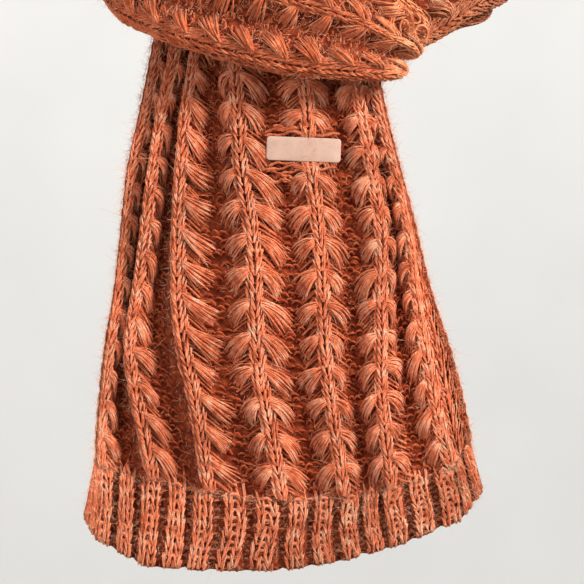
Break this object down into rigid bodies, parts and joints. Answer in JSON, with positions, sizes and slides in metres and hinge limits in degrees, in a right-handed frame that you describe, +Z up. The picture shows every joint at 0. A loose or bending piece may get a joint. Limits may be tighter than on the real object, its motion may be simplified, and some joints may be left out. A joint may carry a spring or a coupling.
{
  "type": "knit scarf",
  "caption": "Chunky knit scarf wound once round the neck and crossed in front, one gathered tail hanging flat with a ribbed hem and a small bare leather label.",
  "frame": {"origin": "the middle of the neck opening, where the wearer's neck holds the scarf", "axes": "+Z up along the neck, -Y is the front where the tail hangs, +X is the viewer's right seen from the front"},
  "size_m": [0.2482, 0.2513, 0.4308],
  "materials": {
    "knit_rust": "fuzzy wool knit, matte",
    "label_leather": "matte"
  },
  "bodies": {
    "root": {"front_tail": "knit_rust", "side_band": "knit_rust", "neck_loop": "knit_rust", "cross_band": "knit_rust", "under_tail": "knit_rust", "label": "label_leather"}
  },
  "joints": []
}
